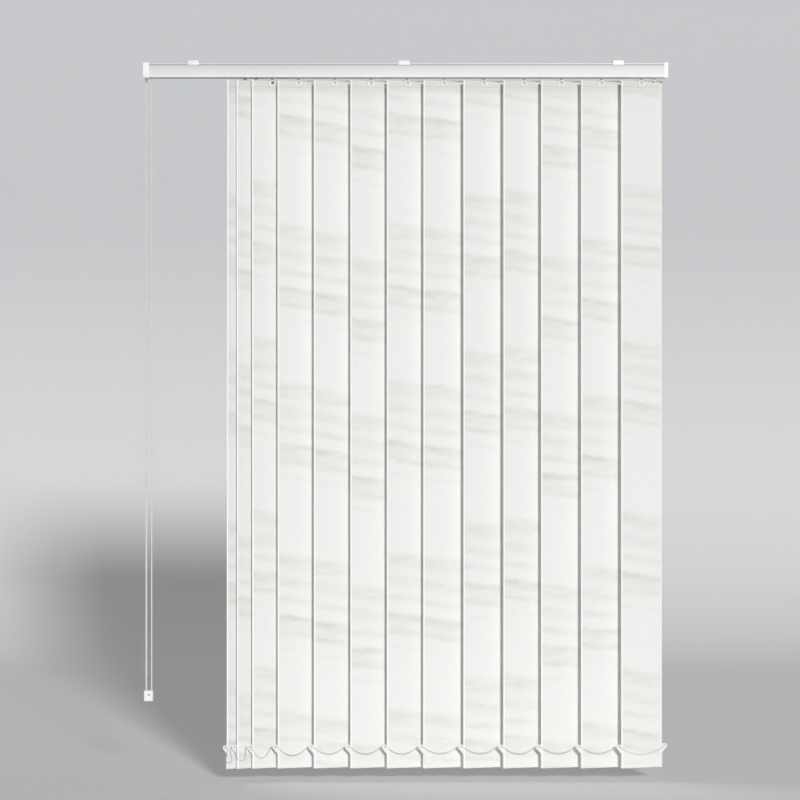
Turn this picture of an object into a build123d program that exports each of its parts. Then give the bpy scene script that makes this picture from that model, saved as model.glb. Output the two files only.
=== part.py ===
from build123d import *
import math
import os

# Vertical blind with thirteen fabric louvres, hung under a soffit.
# Millimetres. The origin is on the soffit over the middle of the headrail.
# +Z is up, +X runs to the right along the rail, and -Y faces the room.
#
# Inside the rail each louvre hangs from a truck. The trucks roll along the rail and are
# linked by flat spacer strips, the truck at the right end is fixed, and the draw cord is
# clamped to the lead truck. A fluted rod passes through a worm in every truck, and each
# worm turns the gear at the top of a louvre's hook.

# ------------------------------------------------------------------ driving dimensions

# headrail
RAIL_LENGTH = 1028.0
RAIL_DEPTH = 40.0
RAIL_HEIGHT = 29.0
RAIL_DROP = 4.0            # soffit to the top of the rail
RAIL_WALL = 1.2
LIP_WALL = 2.4             # thicker wall behind the bracket groove
LIP_HEIGHT = 3.6
GROOVE_HEIGHT = 1.6
GROOVE_DEPTH = 1.0
FACE_RECESS = 0.4          # the plain face lies behind the lip and the bottom bead
BEAD_HEIGHT = 2.2
SLOT_WIDTH = 16.0
LEDGE_WIDTH = 3.8          # inner wall to the edge of a wheel ledge
LEDGE_THICKNESS = 1.2

# louvres and how they hang
LOUVRE_WIDTH = 89.0
LOUVRE_DROP = 1374.0
LOUVRE_GAP = 5.5           # underside of the rail to the top of a louvre
FABRIC = 0.4
TOP_POCKET = 16.0
BOTTOM_POCKET = 51.0
POCKET_TAPER = 3.5
POCKET_ROOM = 2.6          # inside a pocket, front to back
NOTCH_WIDTH = 15.0
NOTCH_DEPTH = 10.0
ANCHOR_INSET = 44.2        # right end of the rail to the fixed truck's centre

# pitch from each truck to the next on its left, as the blind hangs
PITCHES = [80.2, 79.8, 75.4, 79.8, 79.6, 73.0, 72.8, 73.0, 72.4, 52.0, 32.6, 21.8]
MAX_PITCH = 80.2
LOUVRES = len(PITCHES) + 1

# angle of each louvre to the rail, from the lead louvre: the first three lag the rest
TILT = 20.0
LEAD_TILTS = [38.0, 29.5, 23.0]

# tilt drive
ROD_RADIUS = 2.6
ROD_Y = 8.8
ROD_BELOW_TOP = 16.5       # top of the rail to the rod
ROD_FLUTES = 6
GEAR_RADIUS = 4.2
GEAR_TEETH = 12
GEAR_THICKNESS = 6.0
WORM_LENGTH = 12.0
WORM_GAP = 0.4             # crest to crest

# trucks
TRUCK_LENGTH = 16.0
TRUCK_SIDE_GAP = 0.5       # truck to the edge of a wheel ledge
TRUCK_TOP = 6.0            # top of the rail to the top of a truck
NECK_HEIGHT = 3.0          # underside of its body to the underside of the rail
WHEEL_RADIUS = 2.5
WHEEL_WIDTH = 2.0
WHEEL_GAP = 0.8            # truck to the inner face of a wheel
WHEEL_BELOW_TOP = 16.0
AXLE_RADIUS = 1.0
WHEEL_SPREAD = 10.0
NECK_RADIUS = 6.5
STEM_RADIUS = 2.2

# spacer strips, stacked in levels so that several pass through one truck
STRIP_WIDTH = 4.0
STRIP_THICKNESS = 0.4
STRIP_LEVELS = 6
LEVEL_STEP = 0.8
STRIP_Y = -9.1
WINDOW_WIDTH = 7.8
HEAD_WIDTH = 6.8
HEAD_LENGTH = 2.0
TAB_LENGTH = 6.0
CATCH_WIDTH = 5.0

# cords, chains and pulleys
CORD_RADIUS = 1.0
CORD_BELOW_TOP = 4.2       # top of the rail to the cord runs inside it
CORD_FRONT_Y = -6.5
CORD_REAR_Y = 4.4
PULLEY_PITCH_RADIUS = 4.0
PULLEY_WIDTH = 3.6
PULLEY_RIM = 0.9           # rim outside the pitch radius
STRAND_INSET = 4.0         # left end of the rail to the hanging cord
CHAIN_RADIUS = 2.15
CHAIN_WHEEL_RADIUS = 7.0
CHAIN_OUTSET = 7.3         # left end of the rail to the chain, outside it
CONTROL_DROP = 1266.0      # soffit to the centre of the loops' lower bends

# end caps
CONTROL_CAP = 11.0
CONTROL_PLUG = 13.0
COVER_THICKNESS = 1.6
IDLE_CAP = 8.0
IDLE_PLUG = 20.0
PLUG_SIDE_GAP = 0.4        # plug to the edge of a wheel ledge
CAP_OVERHANG = 0.3
RETURN_INSET = 11.0        # right end of the rail to the return pulley

# brackets
BRACKET_X = [-425.0, -5.0, 422.0]
BRACKET_WIDTH = 21.5
BRACKET_STEEL = 1.6
BRACKET_GAP = 0.3
BRACKET_HOLE_RADIUS = 2.1
BRACKET_HOLE_SPACING = 10.0

# hook and hanger
FLARE_RADIUS = 5.5
WAIST_RADIUS = 1.7
HOOK_WIDTH = 2.8
HOOK_THICKNESS = 1.6
HOOK_INNER_RADIUS = 2.0
EYE_OUTER_RADIUS = 5.5
EYE_INNER_RADIUS = 3.5
EYE_BELOW_LOUVRE_TOP = 3.9
HANGER_THICKNESS = 2.0
HANGER_INSET = 2.0         # louvre's edge to the hanger's end
HANGER_HEIGHT = 11.5

# bottom weights
WEIGHT_HEIGHT = 40.0
WEIGHT_THICKNESS = 2.0
WEIGHT_INSET = 1.5         # louvre's edge to the plate's end
WEIGHT_LIFT = 7.5          # above the bottom fold
EAR_REACH = 11.0           # past the louvre's edge
EAR_HEIGHT = 19.0
EAR_HOLE_RADIUS = 1.6
EAR_HOLE_REACH = 5.0
EAR_HOLE_DROP = 4.0

# bottom chains: how far each piece sags, from the lead louvre
BEAD_RADIUS = 1.3
SAGS = [31.0, 27.0, 23.0, 17.0, 14.0, 14.0, 14.0, 13.0, 13.0, 14.0, 13.0, 13.0]
TAIL_SAG = 18.0            # the front chain's end, across the fixed louvre

# cord tidy
TIDY_WALL = 1.6
TIDY_ROOM = 0.5
TIDY_ABOVE = 8.0           # above the centre of the bends
TIDY_FLOOR = 3.0
TIDY_HOLE_RADIUS = 1.7

# clearances
RUN = 0.3                  # between pieces that move past each other
FIT = 0.1                  # between pieces that are pressed together or turn on a pin

# ------------------------------------------------------------------ derived places

RAIL_TOP = -RAIL_DROP
RAIL_BASE = RAIL_TOP - RAIL_HEIGHT
RAIL_LEFT = -RAIL_LENGTH / 2
RAIL_RIGHT = RAIL_LENGTH / 2
HALF_DEPTH = RAIL_DEPTH / 2
INNER_TOP = RAIL_TOP - RAIL_WALL
INNER_BASE = RAIL_BASE + RAIL_WALL

ROD_Z = RAIL_TOP - ROD_BELOW_TOP
CORD_Z = RAIL_TOP - CORD_BELOW_TOP
WORM_RADIUS = ROD_Y - GEAR_RADIUS - WORM_GAP
WHEEL_Z = RAIL_TOP - WHEEL_BELOW_TOP
LEDGE_TOP = WHEEL_Z - WHEEL_RADIUS - RUN
LEDGE_TIP = HALF_DEPTH - RAIL_WALL - LEDGE_WIDTH
TRUCK_WIDTH = 2 * (LEDGE_TIP - TRUCK_SIDE_GAP)
TRUCK_BASE = RAIL_HEIGHT - NECK_HEIGHT      # top of the rail to the underside of a truck's body
PLUG_WIDTH = 2 * (LEDGE_TIP - PLUG_SIDE_GAP)
HANGER_LENGTH = LOUVRE_WIDTH - 2 * HANGER_INSET
WEIGHT_LENGTH = LOUVRE_WIDTH - 2 * WEIGHT_INSET

LOUVRE_TOP = RAIL_BASE - LOUVRE_GAP
LOUVRE_BASE = LOUVRE_TOP - LOUVRE_DROP
EYE_Z = LOUVRE_TOP - EYE_BELOW_LOUVRE_TOP
WEIGHT_TOP = LOUVRE_BASE + WEIGHT_LIFT + WEIGHT_HEIGHT
EAR_HOLE_U = LOUVRE_WIDTH / 2 + EAR_HOLE_REACH
EAR_HOLE_Z = WEIGHT_TOP - EAR_HOLE_DROP

ANCHOR_X = RAIL_RIGHT - ANCHOR_INSET
TRUCK_X = [ANCHOR_X - sum(PITCHES[:i]) for i in range(LOUVRES)][::-1]
TILTS = LEAD_TILTS + [TILT] * (LOUVRES - len(LEAD_TILTS))

STRAND_X = RAIL_LEFT + STRAND_INSET
PULLEY_X = STRAND_X + PULLEY_PITCH_RADIUS
PULLEY_Z = CORD_Z - PULLEY_PITCH_RADIUS
RETURN_X = RAIL_RIGHT - RETURN_INSET
RETURN_RADIUS = (CORD_REAR_Y - CORD_FRONT_Y) / 2
CORD_MIDDLE_Y = (CORD_REAR_Y + CORD_FRONT_Y) / 2
CHAIN_X = RAIL_LEFT - CHAIN_OUTSET
COVER_X = RAIL_LEFT - CONTROL_CAP


# ------------------------------------------------------------------ small shapes

def block(x_span, y_span, z_span):
    """A block between two values on each axis."""
    spans = (x_span, y_span, z_span)
    size = [high - low for low, high in spans]
    middle = [(high + low) / 2 for low, high in spans]
    return Pos(*middle) * Box(*size)


def round_x(radius, x_span, y, z):
    """A round bar along X."""
    length = x_span[1] - x_span[0]
    return Pos(x_span[0] + length / 2, y, z) * Rot(0, 90, 0) * Cylinder(radius, length)


def round_y(radius, x, y_span, z):
    """A round bar along Y."""
    length = y_span[1] - y_span[0]
    return Pos(x, y_span[0] + length / 2, z) * Rot(90, 0, 0) * Cylinder(radius, length)


def round_z(radius, x, y, z_span):
    """A round bar along Z."""
    length = z_span[1] - z_span[0]
    return Pos(x, y, z_span[0] + length / 2) * Cylinder(radius, length)


def bar_from_section(points, x_span):
    """A (Y, Z) outline carried along X."""
    outline = Plane.YZ * make_face(Polyline(*points, close=True))
    return Pos(x_span[0], 0, 0) * extrude(outline, x_span[1] - x_span[0])


def mirrored(points):
    """A closed symmetric outline from the points on its +Y side, top to bottom."""
    return points + [(-y, z) for y, z in reversed(points)]


def grooved_pulley(pitch_radius, rim, width, bore, groove):
    """A pulley about Z with a round-bottomed groove."""
    wheel = Cylinder(pitch_radius + rim, width) - Cylinder(bore, width)
    sides = Cylinder(pitch_radius + rim, 2 * groove) - Cylinder(pitch_radius, 2 * groove)
    return wheel - Torus(pitch_radius, groove) - sides


def half_ring(bend_radius, tube_radius, start):
    """Half of a ring about X, from the angle start in the (Y, Z) plane."""
    angle = math.radians(start)
    centre = (0, bend_radius * math.cos(angle), bend_radius * math.sin(angle))
    normal = (0, -math.sin(angle), math.cos(angle))
    disc = Plane(origin=centre, z_dir=normal) * Circle(tube_radius)
    return revolve(disc, axis=Axis.X, revolution_arc=180)


# ------------------------------------------------------------------ headrail and brackets

def headrail():
    """Extruded aluminium channel, open below, with a bracket lip and a wheel ledge on each side."""
    face = HALF_DEPTH - FACE_RECESS
    groove_top = RAIL_TOP - LIP_HEIGHT
    groove_base = groove_top - GROOVE_HEIGHT
    bead = RAIL_BASE + BEAD_HEIGHT
    slot = SLOT_WIDTH / 2
    outside = mirrored([
        (HALF_DEPTH - 0.6, RAIL_TOP),
        (HALF_DEPTH, RAIL_TOP - 0.6),
        (HALF_DEPTH, groove_top),
        (HALF_DEPTH - GROOVE_DEPTH, groove_top),
        (HALF_DEPTH - GROOVE_DEPTH, groove_base),
        (face, groove_base),
        (face, bead),
        (HALF_DEPTH, bead - FACE_RECESS),
        (HALF_DEPTH, RAIL_BASE + 0.8),
        (HALF_DEPTH - 0.8, RAIL_BASE),
    ])
    lip_inside = HALF_DEPTH - LIP_WALL
    wall_inside = HALF_DEPTH - RAIL_WALL
    lip_end = groove_base - RAIL_WALL
    inside = mirrored([
        (lip_inside, INNER_TOP),
        (lip_inside, lip_end),
        (wall_inside, lip_end - RAIL_WALL),
        (wall_inside, LEDGE_TOP),
        (LEDGE_TIP, LEDGE_TOP),
        (LEDGE_TIP, LEDGE_TOP - LEDGE_THICKNESS),
        (wall_inside, LEDGE_TOP - LEDGE_THICKNESS),
        (wall_inside, INNER_BASE),
        (slot, INNER_BASE),
        (slot, RAIL_BASE),
    ])
    span = (RAIL_LEFT, RAIL_RIGHT)
    return bar_from_section(outside, span) - bar_from_section(inside, span)


def bracket(x):
    """Pressed steel clip: a plate on the soffit with two pads and a sprung claw each side."""
    half = BRACKET_WIDTH / 2
    span = (x - half, x + half)
    claw_in = HALF_DEPTH + BRACKET_GAP
    claw_out = claw_in + BRACKET_STEEL
    groove_top = RAIL_TOP - LIP_HEIGHT
    tip_top = groove_top - BRACKET_GAP
    tip_base = groove_top - GROOVE_HEIGHT + BRACKET_GAP
    tip_in = HALF_DEPTH - GROOVE_DEPTH + BRACKET_GAP
    clip = block(span, (-claw_out, claw_out), (-BRACKET_STEEL, 0))
    for side in (-1, 1):
        wall = sorted((side * claw_in, side * claw_out))
        tip = sorted((side * tip_in, side * claw_out))
        pad = sorted((side * HALF_DEPTH * 0.5, side * HALF_DEPTH * 0.8))
        clip += block(span, wall, (tip_base, 0))
        clip += block(span, tip, (tip_base, tip_top))
        clip += block(span, pad, (RAIL_TOP, -BRACKET_STEEL / 2))
        hole_y = side * BRACKET_HOLE_SPACING / 2
        clip -= round_z(BRACKET_HOLE_RADIUS, x, hole_y, (-BRACKET_STEEL, 0))
    return clip


# ------------------------------------------------------------------ end caps and control

def control_end_cap():
    """Moulded cap: a chamber for the chain wheel outside the rail, and a plug with two pulley slots."""
    depth = HALF_DEPTH + CAP_OVERHANG
    base = RAIL_BASE - 5 * CAP_OVERHANG
    cap = block((COVER_X, RAIL_LEFT), (-depth, depth), (base, RAIL_TOP + CAP_OVERHANG))
    cap = chamfer(cap.faces().sort_by(Axis.Z)[0].edges().filter_by(Axis.X), 2.0)
    plug_end = RAIL_LEFT + CONTROL_PLUG
    plug_side = PLUG_WIDTH / 2
    cap += block((RAIL_LEFT, plug_end), (-plug_side, plug_side), (INNER_BASE + FIT, INNER_TOP - FIT))
    # chain chamber, open below for the two strands
    room = CHAIN_WHEEL_RADIUS + CHAIN_RADIUS + TIDY_ROOM
    chamber = (COVER_X, RAIL_LEFT - 3.6)
    cap -= round_x(room, chamber, ROD_Y, ROD_Z)
    cap -= block(chamber, (ROD_Y - room, ROD_Y + room), (base - 1, ROD_Z))
    cap -= round_x(ROD_RADIUS + FIT, (COVER_X, plug_end), ROD_Y, ROD_Z)
    # pulley slots, with the cord's way in above and its way down below
    rim = PULLEY_PITCH_RADIUS + PULLEY_RIM + RUN
    for y in (CORD_FRONT_Y, CORD_REAR_Y):
        side = PULLEY_WIDTH / 2 + RUN
        slot_x = (PULLEY_X - rim - RUN, plug_end + 1)
        cap -= block(slot_x, (y - side, y + side), (base, INNER_TOP))
    # the pulleys' pin, and room for the longest reach of the spacer strips
    cap -= round_y(AXLE_RADIUS + FIT / 2, PULLEY_X, (CORD_FRONT_Y - 5, CORD_REAR_Y + 5), PULLEY_Z)
    strip_side = WINDOW_WIDTH / 2 + RUN
    strip_room = STRIP_LEVELS * LEVEL_STEP / 2 + RUN
    cap -= block(
        (RAIL_LEFT + 6, plug_end + 1),
        (STRIP_Y - strip_side, STRIP_Y + strip_side),
        (ROD_Z - strip_room, ROD_Z + strip_room),
    )
    # foot that shows under the slot
    foot = block((RAIL_LEFT + 7, plug_end - 0.5), (-3, 1), (RAIL_BASE - 1.2, INNER_BASE + 1))
    return cap + foot


def control_cap_cover():
    """Flat side cover that closes the chain chamber and carries the rod's end."""
    depth = HALF_DEPTH - 0.2
    cover = block((COVER_X - COVER_THICKNESS, COVER_X), (-depth, depth), (RAIL_BASE, RAIL_TOP))
    cover = chamfer(cover.faces().sort_by(Axis.X)[0].edges(), 0.6)
    return cover - round_x(ROD_RADIUS + FIT, (COVER_X - 1.0, COVER_X), ROD_Y, ROD_Z)


def idle_end_cap():
    """Moulded cap with a plug that carries the return pulley and the rod's far end."""
    depth = HALF_DEPTH + CAP_OVERHANG
    outer = RAIL_RIGHT + IDLE_CAP
    base = RAIL_BASE - 3 * CAP_OVERHANG
    cap = block((RAIL_RIGHT, outer), (-depth, depth), (base, RAIL_TOP + CAP_OVERHANG))
    cap = chamfer(cap.faces().sort_by(Axis.X)[-1].edges(), 1.2)
    plug_start = RAIL_RIGHT - IDLE_PLUG
    side = PLUG_WIDTH / 2
    cap += block((plug_start, RAIL_RIGHT), (-side, side), (INNER_BASE + FIT, INNER_TOP - FIT))
    reach = RETURN_RADIUS + PULLEY_RIM + RUN
    cap -= block(
        (plug_start - 1, RETURN_X + reach),
        (CORD_MIDDLE_Y - reach, CORD_MIDDLE_Y + reach),
        (CORD_Z - PULLEY_WIDTH / 2 - RUN, INNER_TOP),
    )
    cap -= round_z(AXLE_RADIUS + FIT / 2, RETURN_X, CORD_MIDDLE_Y, (CORD_Z - 9, INNER_TOP))
    cap -= round_x(ROD_RADIUS + FIT, (plug_start, RAIL_RIGHT + 1), ROD_Y, ROD_Z)
    # short leg through the slot, which shows just inside the cap
    leg = block((plug_start, plug_start + 3), (-2, 2), (RAIL_BASE - 6.5, INNER_BASE + 1))
    return cap + leg


def tilt_rod():
    """Fluted aluminium rod from the cover to the far cap."""
    span = (COVER_X - 0.7, RAIL_RIGHT + 0.5)
    section = Circle(ROD_RADIUS)
    for i in range(ROD_FLUTES):
        angle = math.radians(360 * i / ROD_FLUTES)
        centre = (ROD_RADIUS * math.cos(angle), ROD_RADIUS * math.sin(angle))
        section -= Pos(*centre) * Circle(ROD_RADIUS * 0.2)
    rod = extrude(Plane.YZ * section, span[1] - span[0])
    return Pos(span[0], ROD_Y, ROD_Z) * rod


def chain_wheel():
    """Grooved wheel on the rod's end, turned by the bead chain."""
    groove = CHAIN_RADIUS + RUN
    flange = 0.8
    wheel = grooved_pulley(CHAIN_WHEEL_RADIUS, 1.8, 2 * (groove + flange), ROD_RADIUS + FIT / 4, groove)
    return Pos(CHAIN_X, ROD_Y, ROD_Z) * Rot(0, 90, 0) * wheel


def cord_pulley(y):
    """One of the two pulleys that turn the draw cord down out of the rail."""
    groove = CORD_RADIUS + RUN / 1.5
    wheel = grooved_pulley(
        PULLEY_PITCH_RADIUS, PULLEY_RIM, PULLEY_WIDTH, AXLE_RADIUS + FIT, groove
    )
    return Pos(PULLEY_X, y, PULLEY_Z) * Rot(90, 0, 0) * wheel


def return_pulley():
    """Level pulley in the far cap that turns the draw cord back."""
    groove = CORD_RADIUS + RUN / 1.5
    wheel = grooved_pulley(RETURN_RADIUS, PULLEY_RIM, PULLEY_WIDTH, AXLE_RADIUS + FIT, groove)
    return Pos(RETURN_X, CORD_MIDDLE_Y, CORD_Z) * wheel


def pulley_pins():
    """Two steel pins, one through both control pulleys and one through the return pulley."""
    cross = round_y(AXLE_RADIUS, PULLEY_X, (CORD_FRONT_Y - 4.5, CORD_REAR_Y + 4.5), PULLEY_Z)
    upright = round_z(AXLE_RADIUS, RETURN_X, CORD_MIDDLE_Y, (CORD_Z - 8.5, INNER_TOP - FIT))
    return Compound(children=[cross, upright])


# ------------------------------------------------------------------ cords

def tilt_chain():
    """Endless bead chain, as a tube of the beads' size, over the wheel and round the tidy's post."""
    top = Pos(CHAIN_X, ROD_Y, ROD_Z) * half_ring(CHAIN_WHEEL_RADIUS, CHAIN_RADIUS, 0)
    bottom = Pos(CHAIN_X, ROD_Y, -CONTROL_DROP) * half_ring(CHAIN_WHEEL_RADIUS, CHAIN_RADIUS, 180)
    chain = top + bottom
    for side in (-1, 1):
        y = ROD_Y + side * CHAIN_WHEEL_RADIUS
        chain += round_z(CHAIN_RADIUS, CHAIN_X, y, (-CONTROL_DROP, ROD_Z))
    return chain


def draw_cord_loop():
    """The hanging part of the draw cord: down from the two pulleys and round the tidy's post."""
    low = Pos(STRAND_X, CORD_MIDDLE_Y, -CONTROL_DROP)
    cord = low * half_ring(RETURN_RADIUS, CORD_RADIUS, 180)
    for y in (CORD_FRONT_Y, CORD_REAR_Y):
        cord += round_z(CORD_RADIUS, STRAND_X, y, (-CONTROL_DROP, PULLEY_Z))
        disc = Plane(origin=(0, 0, PULLEY_PITCH_RADIUS), z_dir=(1, 0, 0)) * Circle(CORD_RADIUS)
        turn = revolve(disc, axis=Axis.Y, revolution_arc=-90)
        cord += Pos(PULLEY_X, y, PULLEY_Z) * turn
    return cord


def draw_cord_run():
    """The part of the draw cord inside the rail: out to the return pulley and back."""
    cord = Pos(RETURN_X, CORD_MIDDLE_Y, CORD_Z) * Rot(0, 90, 0) * half_ring(
        RETURN_RADIUS, CORD_RADIUS, 0
    )
    for y in (CORD_FRONT_Y, CORD_REAR_Y):
        cord += round_x(CORD_RADIUS, (PULLEY_X, RETURN_X), y, CORD_Z)
    return cord


def cord_tidy():
    """Moulded holder that is screwed beside the window and keeps both loops taut."""
    chain_room = CHAIN_RADIUS + TIDY_ROOM
    cord_room = CORD_RADIUS + TIDY_ROOM
    chain_reach = CHAIN_WHEEL_RADIUS + chain_room
    cord_reach = RETURN_RADIUS + cord_room
    left = CHAIN_X - chain_room - TIDY_WALL
    right = STRAND_X + cord_room + TIDY_WALL
    front = min(ROD_Y - chain_reach, CORD_MIDDLE_Y - cord_reach) - TIDY_WALL
    rear = max(ROD_Y + chain_reach, CORD_MIDDLE_Y + cord_reach) + TIDY_WALL
    centre = -CONTROL_DROP
    base = centre - chain_reach - TIDY_FLOOR
    top = centre + TIDY_ABOVE
    tidy = block((left, right), (front, rear), (base, top))
    tidy = fillet(tidy.edges().filter_by(Axis.Z), 2.5)
    tidy = fillet(tidy.faces().sort_by(Axis.Z)[0].edges(), 1.2)
    for x, y, room, reach in (
        (CHAIN_X, ROD_Y, chain_room, chain_reach),
        (STRAND_X, CORD_MIDDLE_Y, cord_room, cord_reach),
    ):
        span = (x - room, x + room)
        tidy -= round_x(reach, span, y, centre)
        tidy -= block(span, (y - reach, y + reach), (centre, top + 1))
    tidy += round_x(CHAIN_WHEEL_RADIUS - CHAIN_RADIUS - RUN, (left + 1, CHAIN_X + 4), ROD_Y, centre)
    post = RETURN_RADIUS - CORD_RADIUS - RUN
    tidy += round_x(post, (STRAND_X - 3, right - 1), CORD_MIDDLE_Y, centre)
    middle = (CHAIN_X + chain_room + STRAND_X - cord_room) / 2
    return tidy - round_y(TIDY_HOLE_RADIUS, middle, (front - 1, rear + 1), centre)


def cord_clamp(x):
    """Small grip on the lead truck that holds the front run of the draw cord."""
    top = RAIL_TOP - TRUCK_TOP
    inner = CORD_FRONT_Y + CORD_RADIUS + 0.6
    grip = block((x - 4, x + 4), (CORD_FRONT_Y - 2.3, inner), (top, INNER_TOP - 2 * RUN))
    return grip - round_x(CORD_RADIUS + FIT, (x - 4, x + 4), CORD_FRONT_Y, CORD_Z)


# ------------------------------------------------------------------ trucks

def level_z(index):
    """Height of a truck's own spacer strip: the levels repeat along the rail."""
    return ROD_Z + (index % STRIP_LEVELS - (STRIP_LEVELS - 1) / 2) * LEVEL_STEP


def worm():
    """Worm on the rod, with its thread as plain crests; the bore turns on the rod."""
    turns = 5
    step = WORM_LENGTH / turns
    profile = [(-WORM_LENGTH / 2, ROD_RADIUS + FIT)]
    for i in range(turns):
        start = -WORM_LENGTH / 2 + i * step
        profile += [
            (start, WORM_RADIUS - 0.9),
            (start + step * 0.3, WORM_RADIUS),
            (start + step * 0.7, WORM_RADIUS),
        ]
    profile += [(WORM_LENGTH / 2, WORM_RADIUS - 0.9), (WORM_LENGTH / 2, ROD_RADIUS + FIT)]
    outline = make_face(Polyline(*profile, close=True))
    return Pos(0, ROD_Y, ROD_Z) * revolve(outline, axis=Axis.X)


def truck_body(catch_index):
    """Moulded carriage at x = 0. A strip that ends here is caught by two small ribs."""
    half = TRUCK_LENGTH / 2
    top = RAIL_TOP - TRUCK_TOP
    side = TRUCK_WIDTH / 2
    base = RAIL_TOP - TRUCK_BASE
    body = block((-half, half), (-side, side), (base, top))
    body = fillet(body.edges().filter_by(Axis.Z), 1.5)
    # crest between the two cord runs
    crest = (CORD_FRONT_Y + CORD_RADIUS + 0.9, CORD_REAR_Y - CORD_RADIUS - 0.8)
    body += block((-half + 1, half - 1), crest, (top, INNER_TOP - 2 * RUN))
    body += round_z(NECK_RADIUS, 0, 0, (RAIL_BASE, base))
    # gear chamber, stem bore, worm chamber open above, and the rod's way through
    gear_room = GEAR_THICKNESS / 2 + RUN
    body -= round_z(GEAR_RADIUS + RUN, 0, 0, (ROD_Z - gear_room, ROD_Z + gear_room))
    body -= round_z(STEM_RADIUS + RUN, 0, 0, (RAIL_BASE, ROD_Z))
    worm_room = WORM_RADIUS + RUN
    worm_span = (-WORM_LENGTH / 2 - RUN, WORM_LENGTH / 2 + RUN)
    body -= round_x(worm_room, worm_span, ROD_Y, ROD_Z)
    body -= block(worm_span, (ROD_Y - worm_room, ROD_Y + worm_room), (ROD_Z, top))
    body -= round_x(ROD_RADIUS + RUN, (-half, half), ROD_Y, ROD_Z)
    # window for the spacer strips
    window = STRIP_LEVELS * LEVEL_STEP / 2 + 0.1
    reach = WINDOW_WIDTH / 2
    body -= block((-half, half), (STRIP_Y - reach, STRIP_Y + reach), (ROD_Z - window, ROD_Z + window))
    if catch_index is not None:
        z = level_z(catch_index)
        rib_z = (z - 0.3, z + 0.3)
        body += block((-half, -half + 2), (STRIP_Y - reach, STRIP_Y - CATCH_WIDTH / 2), rib_z)
        body += block((-half, -half + 2), (STRIP_Y + CATCH_WIDTH / 2, STRIP_Y + reach), rib_z)
    # stub axles
    for x in (-WHEEL_SPREAD / 2, WHEEL_SPREAD / 2):
        tip = side + WHEEL_GAP + WHEEL_WIDTH + RUN
        body += round_y(AXLE_RADIUS, x, (side, tip), WHEEL_Z)
        body += round_y(AXLE_RADIUS, x, (-tip, -side), WHEEL_Z)
    return body


def truck_wheel(x, side):
    """Small wheel on a stub axle."""
    inner = TRUCK_WIDTH / 2 + WHEEL_GAP
    span = sorted((side * inner, side * (inner + WHEEL_WIDTH)))
    wheel = round_y(WHEEL_RADIUS, x, span, WHEEL_Z)
    return wheel - round_y(AXLE_RADIUS + FIT, x, span, WHEEL_Z)


def spacer_strip(index):
    """Flat steel strip: a tab held in its own truck, and a head that the next truck catches."""
    head_at = -(MAX_PITCH + TRUCK_LENGTH / 2 + RUN)
    z = level_z(index)
    z_span = (z - STRIP_THICKNESS / 2, z + STRIP_THICKNESS / 2)
    strip = block(
        (head_at - HEAD_LENGTH, TAB_LENGTH / 2),
        (STRIP_Y - STRIP_WIDTH / 2, STRIP_Y + STRIP_WIDTH / 2),
        z_span,
    )
    strip += block(
        (head_at - HEAD_LENGTH, head_at),
        (STRIP_Y - HEAD_WIDTH / 2, STRIP_Y + HEAD_WIDTH / 2),
        z_span,
    )
    strip += block(
        (-TAB_LENGTH / 2, TAB_LENGTH / 2),
        (STRIP_Y - WINDOW_WIDTH / 2, STRIP_Y + WINDOW_WIDTH / 2),
        z_span,
    )
    return strip


def truck(index):
    """One truck: its body, four wheels, its worm and, but for the lead truck, a spacer strip."""
    catch_index = index + 1 if index < LOUVRES - 1 else None
    pieces = [truck_body(catch_index), worm()]
    for x in (-WHEEL_SPREAD / 2, WHEEL_SPREAD / 2):
        pieces += [truck_wheel(x, -1), truck_wheel(x, 1)]
    if index > 0:
        pieces.append(spacer_strip(index))
    return [Pos(TRUCK_X[index], 0, 0) * piece for piece in pieces]


# ------------------------------------------------------------------ louvre and its fittings
# Built at x = 0 and square to the rail's length, then turned and moved into place.

def hook():
    """Moulded stem: a gear inside the truck, a flare under it, and a hook for the hanger."""
    stem_top = ROD_Z + GEAR_THICKNESS / 2
    gear = round_z(GEAR_RADIUS, 0, 0, (ROD_Z - GEAR_THICKNESS / 2, stem_top))
    for i in range(GEAR_TEETH):
        angle = math.radians(360 * i / GEAR_TEETH)
        place = (GEAR_RADIUS * math.cos(angle), GEAR_RADIUS * math.sin(angle))
        gear -= round_z(0.6, *place, (ROD_Z - GEAR_THICKNESS / 2, stem_top))
    flare_top = RAIL_BASE - RUN
    waist = flare_top - 2.2
    arc_z = EYE_Z + EYE_INNER_RADIUS - 0.35 + HOOK_INNER_RADIUS
    profile = [
        (0, ROD_Z),
        (STEM_RADIUS, ROD_Z),
        (STEM_RADIUS, flare_top),
        (FLARE_RADIUS, flare_top),
        (FLARE_RADIUS, flare_top - 0.5),
        (WAIST_RADIUS, waist),
        (0, waist),
    ]
    stem = gear + revolve(Plane.XZ * make_face(Polyline(*profile, close=True)), axis=Axis.Z)
    outer = HOOK_INNER_RADIUS + HOOK_THICKNESS
    bridge_base = arc_z + HOOK_INNER_RADIUS
    half = HOOK_WIDTH / 2
    bend = round_x(outer, (-half, half), 0, arc_z)
    bend -= round_x(HOOK_INNER_RADIUS, (-half, half), 0, arc_z)
    bend -= block((-half, half), (-outer, outer), (arc_z, arc_z + outer))
    shank = block((-half, half), (HOOK_INNER_RADIUS, outer), (arc_z, waist + 0.5))
    bridge = block((-half, half), (-WAIST_RADIUS, outer), (bridge_base, waist + 0.5))
    tip = block((-half, half), (-outer, -HOOK_INNER_RADIUS), (arc_z, arc_z + 1.0))
    return stem + bend + shank + bridge + tip


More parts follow.
